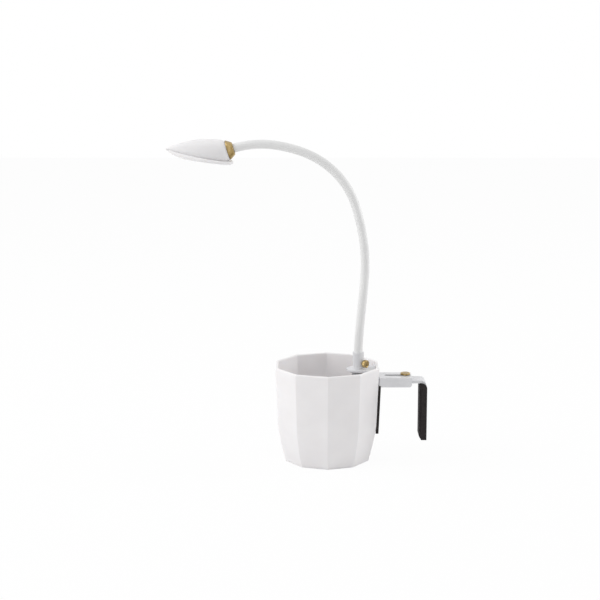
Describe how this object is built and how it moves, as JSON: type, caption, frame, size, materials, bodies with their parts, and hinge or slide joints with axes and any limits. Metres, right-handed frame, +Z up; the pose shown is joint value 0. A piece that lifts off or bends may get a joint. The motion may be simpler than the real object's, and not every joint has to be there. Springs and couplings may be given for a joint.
{
  "type": "gooseneck lamp with pencil cup",
  "caption": "Faceted pencil cup with a flexible gooseneck lamp rising from a collar inside its rim and a sliding clamp that hangs the cup on a panel.",
  "frame": {"origin": "centre of the cup's underside, on the surface that the cup stands on", "axes": "+Z up, +X from the cup towards the clamp, -Y towards the picture's camera"},
  "size_m": [0.2675, 0.1118, 0.3333],
  "materials": {
    "white_plastic": "satin white moulding",
    "white_paint": "satin white powder coat",
    "neck_paint": "smooth white sleeve over a spiral tube",
    "brass": "turned brass",
    "steel": "zinc plated",
    "aluminium": "mill finish",
    "rubber": "matte black rubber",
    "diffuser": "frosted diffuser",
    "board": "white solder mask",
    "phosphor": "LED phosphor"
  },
  "bodies": {
    "cup_body": {"cup": "white_plastic", "shelf_bracket": "white_paint", "bracket_screws": "steel", "fixed_jaw_plate": "white_paint", "fixed_jaw_pad": "rubber", "clamp_housing": "white_paint", "neck_collar": "white_paint", "collar_gasket": "rubber", "collar_nut": "steel", "spigot_grommet": "rubber"},
    "collar_screw": {"collar_thumbscrew": "brass"},
    "jaw": {"jaw_bar": "white_paint", "jaw_boot": "rubber", "clamp_stud": "steel", "clamp_washer": "steel"},
    "clamp_nut": {"clamp_knob": "brass"},
    "neck_1": {"neck_link_1": "neck_paint"},
    "neck_2": {"neck_link_2": "neck_paint"},
    "neck_3": {"neck_link_3": "neck_paint"},
    "neck_4": {"neck_link_4": "neck_paint"},
    "neck_5": {"neck_link_5": "neck_paint"},
    "neck_6": {"neck_link_6": "neck_paint"},
    "neck_7": {"neck_link_7": "neck_paint"},
    "neck_8": {"neck_link_8": "neck_paint", "head_ferrule": "brass", "swivel_nipple": "steel", "swivel_nut": "steel"},
    "head": {"head_shell": "white_plastic", "head_bezel": "white_plastic", "head_lens": "diffuser", "led_board": "board", "led_chips": "phosphor", "heat_spreader": "aluminium", "board_screws": "steel"}
  },
  "joints": [
    {"name": "clamp_slide", "type": "slide", "parent": "cup_body", "child": "jaw", "axis": [-1, 0, 0], "range_m": [0, 0.0074]},
    {"name": "clamp_knob_turn", "type": "hinge", "parent": "jaw", "child": "clamp_nut", "pos_m": [0.08109, 0, 0.0885], "axis": [0, 0, 1], "continuous": true},
    {"name": "collar_screw_turn", "type": "hinge", "parent": "cup_body", "child": "collar_screw", "pos_m": [0.03228, 0, 0.1017], "axis": [0.7986, -0.6018, 0], "continuous": true},
    {"name": "neck_swivel", "type": "hinge", "parent": "cup_body", "child": "neck_1", "pos_m": [0.03228, 0, 0.113], "axis": [0, 0, 1], "range_deg": [-170, 170]},
    {"name": "neck_flex_1", "type": "hinge", "parent": "neck_1", "child": "neck_2", "pos_m": [0.03505, 0, 0.15529], "axis": [0, 1, 0], "range_deg": [-8, 12]},
    {"name": "neck_flex_2", "type": "hinge", "parent": "neck_2", "child": "neck_3", "pos_m": [0.03815, 0, 0.19256], "axis": [0, 1, 0], "range_deg": [-8, 12]},
    {"name": "neck_flex_3", "type": "hinge", "parent": "neck_3", "child": "neck_4", "pos_m": [0.03652, 0, 0.22986], "axis": [0, 1, 0], "range_deg": [-8, 12]},
    {"name": "neck_flex_4", "type": "hinge", "parent": "neck_4", "child": "neck_5", "pos_m": [0.02796, 0, 0.26622], "axis": [0, 1, 0], "range_deg": [-8, 12]},
    {"name": "neck_flex_5", "type": "hinge", "parent": "neck_5", "child": "neck_6", "pos_m": [0.00886, 0, 0.298], "axis": [0, 1, 0], "range_deg": [-8, 12]},
    {"name": "neck_flex_6", "type": "hinge", "parent": "neck_6", "child": "neck_7", "pos_m": [-0.02192, 0, 0.31876], "axis": [0, 1, 0], "range_deg": [-8, 12]},
    {"name": "neck_flex_7", "type": "hinge", "parent": "neck_7", "child": "neck_8", "pos_m": [-0.05812, 0, 0.32762], "axis": [0, 1, 0], "range_deg": [-8, 12]},
    {"name": "head_tilt", "type": "hinge", "parent": "neck_8", "child": "head", "pos_m": [-0.1103, 0, 0.31925], "axis": [0, 1, 0], "range_deg": [-5, 25]}
  ]
}
